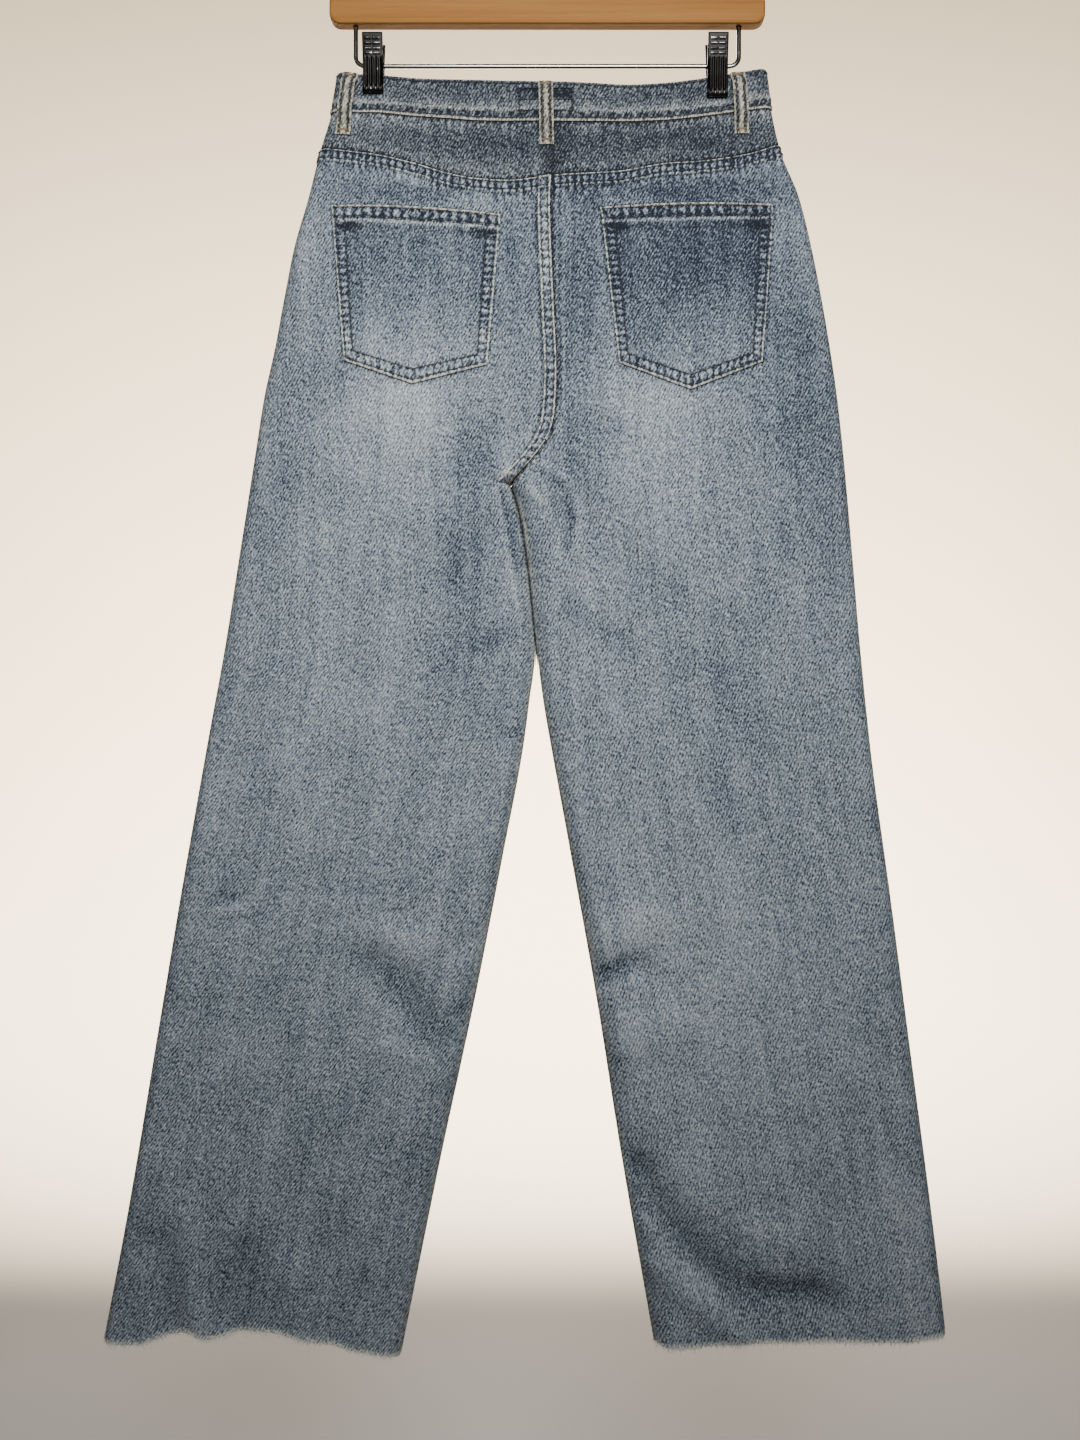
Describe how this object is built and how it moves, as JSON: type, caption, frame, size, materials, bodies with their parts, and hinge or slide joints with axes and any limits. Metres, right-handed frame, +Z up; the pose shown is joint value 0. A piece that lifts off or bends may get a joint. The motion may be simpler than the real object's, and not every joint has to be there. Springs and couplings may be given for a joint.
{
  "type": "wide leg jeans on a clip hanger",
  "caption": "Wide leg jeans with raw hems, yoke, patch back pockets and belt loops, hung at the waist by the two clips of a wooden trouser hanger",
  "frame": {"origin": "the inner top of the hanger's hook, where a closet rod would carry it", "axes": "+Z is up; the back of the jeans faces -Y and their front +Y; the wearer's right leg is at +X"},
  "size_m": [0.6872, 0.0456, 1.1996],
  "materials": {
    "denim": "washed blue-grey denim",
    "denim_dark": "darker denim",
    "fray": "pale loose threads",
    "wood": "satin honey brown",
    "chrome": "polished",
    "dark_steel": "dark plated",
    "aged_brass": "aged"
  },
  "bodies": {
    "root": {"waistband": "denim", "yoke_left": "denim", "yoke_right": "denim", "back_left": "denim", "back_right": "denim", "front_left": "denim", "front_right": "denim", "pocket_facing_left": "denim", "pocket_facing_right": "denim", "back_pocket_left": "denim", "back_pocket_right": "denim", "belt_loop_centre_back": "denim_dark", "belt_loop_back_left": "denim_dark", "belt_loop_back_right": "denim_dark", "belt_loop_front_left": "denim_dark", "belt_loop_front_right": "denim_dark", "zip": "denim_dark", "zip_slider": "aged_brass", "waist_button": "aged_brass", "hem_fray_left": "fray", "hem_fray_right": "fray", "hanger_wood": "wood", "hanger_hook": "chrome", "hanger_rail": "chrome", "clip_left_back_jaw": "dark_steel", "clip_left_front_jaw": "dark_steel", "clip_left_barrel": "dark_steel", "clip_right_back_jaw": "dark_steel", "clip_right_front_jaw": "dark_steel", "clip_right_barrel": "dark_steel"}
  },
  "joints": []
}
